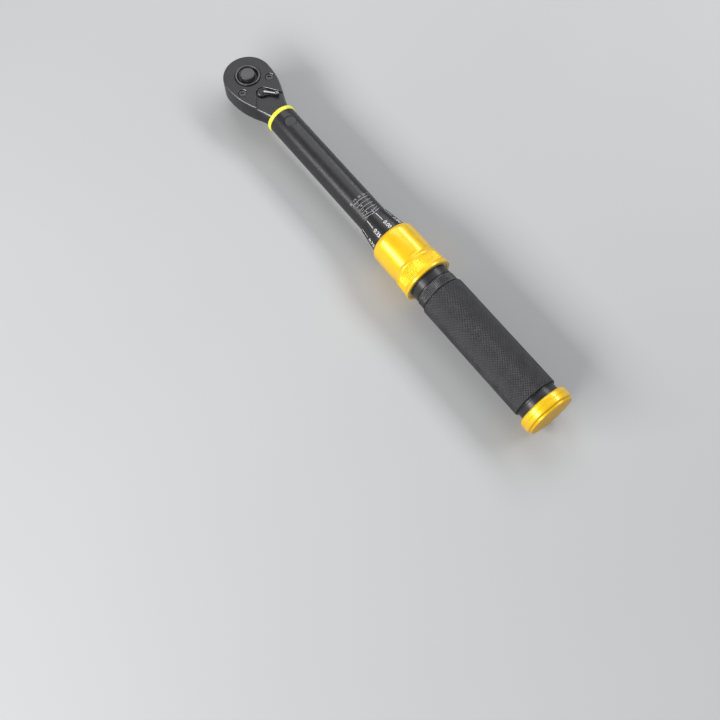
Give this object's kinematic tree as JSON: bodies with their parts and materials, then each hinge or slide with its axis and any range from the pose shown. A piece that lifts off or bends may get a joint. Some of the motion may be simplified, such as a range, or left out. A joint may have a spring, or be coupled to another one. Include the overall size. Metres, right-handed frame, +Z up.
{
  "type": "torque wrench",
  "caption": "Click-type micrometer torque wrench with a ratchet head, reversing lever, quick-release square drive, scale sleeve, lock collar and knurled handle.",
  "frame": {"origin": "centre of the end face of the square drive", "axes": "+Z up along the drive axis from the square to the release button; +X along the tube from the head to the end cap"},
  "size_m": [0.2368, 0.0248, 0.0256],
  "materials": {
    "black_steel": "black oxide, satin",
    "dark_steel": "black oxide worn bright at the edges",
    "bright_steel": "ground, bare",
    "spring_wire": "drawn wire",
    "satin_black_tube": "black satin plated tube with an etched scale",
    "satin_black_sleeve": "black satin with a pale etched scale",
    "knurled_black": "black diamond knurl",
    "gold": "gold anodised",
    "yellow_ring": "lemon yellow",
    "bronze": "turned bronze",
    "nylon": "black nylon"
  },
  "bodies": {
    "tube_body": {"tube": "satin_black_tube", "neck_ring": "yellow_ring", "pivot_pin": "satin_black_tube", "tube_nut": "bronze"},
    "head": {"head_body": "black_steel", "cover_plate": "black_steel", "cover_screw_left": "black_steel", "cover_screw_right": "black_steel", "pawl_pin": "bright_steel"},
    "drive": {"drive_gear": "bright_steel", "button_retainer": "black_steel", "release_spring": "spring_wire"},
    "button": {"release_button": "dark_steel"},
    "ball": {"detent_ball": "bright_steel"},
    "lever": {"reversing_lever": "dark_steel", "pawl_plunger": "bright_steel", "pawl_spring": "spring_wire"},
    "pawl": {"pawl": "bright_steel"},
    "block": {"click_block": "bright_steel"},
    "plunger": {"plunger": "bright_steel", "main_spring": "spring_wire"},
    "seat": {"spring_seat": "bright_steel", "thrust_ball": "bright_steel"},
    "handle": {"scale_sleeve": "satin_black_sleeve", "guide_bush": "nylon", "handle_grip": "knurled_black", "adjusting_screw": "bright_steel", "screw_nut": "bright_steel", "stop_washer": "bright_steel", "collar_spring": "spring_wire", "end_cap": "gold", "cap_plug": "gold"},
    "collar": {"lock_collar": "gold", "cam_ring": "bright_steel"},
    "ball_left": {"lock_ball_left": "bright_steel"},
    "ball_right": {"lock_ball_right": "bright_steel"}
  },
  "joints": [
    {"name": "head_click", "type": "hinge", "parent": "tube_body", "child": "head", "pos_m": [0.036, 0, 0.0132], "axis": [0, 0, 1], "range_deg": [0, 3]},
    {"name": "block_tilt", "type": "hinge", "parent": "head", "child": "block", "pos_m": [0.04255, -0.002, 0.0132], "axis": [0, 0, -1], "range_deg": [0, 6.4]},
    {"name": "plunger_push", "type": "slide", "parent": "tube_body", "child": "plunger", "axis": [1, 0, 0], "range_m": [0, 0.00036]},
    {"name": "drive_spin", "type": "hinge", "parent": "head", "child": "drive", "pos_m": [0, 0, 0.0132], "axis": [0, 0, 1], "continuous": true},
    {"name": "button_press", "type": "slide", "parent": "drive", "child": "button", "axis": [0, 0, -1], "range_m": [0, 0.0016], "stiffness_N_per_m": 400, "springref_m": -0.002, "deforming": ["release_spring"]},
    {"name": "ball_retract", "type": "slide", "parent": "drive", "child": "ball", "axis": [1, 0, 0], "range_m": [0, 0.00051]},
    {"name": "lever_flip", "type": "hinge", "parent": "head", "child": "lever", "pos_m": [0.0126, 0, 0.0132], "axis": [0, 0, 1], "range_deg": [-84, 0]},
    {"name": "pawl_rock", "type": "hinge", "parent": "head", "child": "pawl", "pos_m": [0.0083, 0, 0.0132], "axis": [0, 0, 1], "range_deg": [0, 12.1]},
    {"name": "screw_feed", "type": "slide", "parent": "tube_body", "child": "seat", "axis": [-1, 0, 0], "range_m": [0, 0.0121], "deforming": ["main_spring"]},
    {"name": "handle_turn", "type": "hinge", "parent": "seat", "child": "handle", "pos_m": [0.1182, 0, 0.0132], "axis": [-1, 0, 0], "range_deg": [0, 2160]},
    {"name": "collar_pull", "type": "slide", "parent": "handle", "child": "collar", "axis": [1, 0, 0], "range_m": [0, 0.0042], "stiffness_N_per_m": 300, "springref_m": -0.003, "deforming": ["collar_spring"]},
    {"name": "ball_left_lift", "type": "slide", "parent": "handle", "child": "ball_left", "axis": [0, 1, 0], "range_m": [0, 0.00046]},
    {"name": "ball_right_lift", "type": "slide", "parent": "handle", "child": "ball_right", "axis": [0, -1, 0], "range_m": [0, 0.00046]}
  ],
  "couplings": [
    {"joint": "block_tilt", "follows": "head_click", "ratio": 2.108},
    {"joint": "plunger_push", "follows": "head_click", "m_per_rad": 0.0067},
    {"joint": "ball_retract", "follows": "button_press", "ratio": 0.3125},
    {"joint": "pawl_rock", "follows": "lever_flip", "ratio": -0.14286},
    {"joint": "screw_feed", "follows": "handle_turn", "m_per_rad": 0.00031831},
    {"joint": "ball_left_lift", "follows": "collar_pull", "ratio": 0.107},
    {"joint": "ball_right_lift", "follows": "collar_pull", "ratio": 0.107}
  ]
}
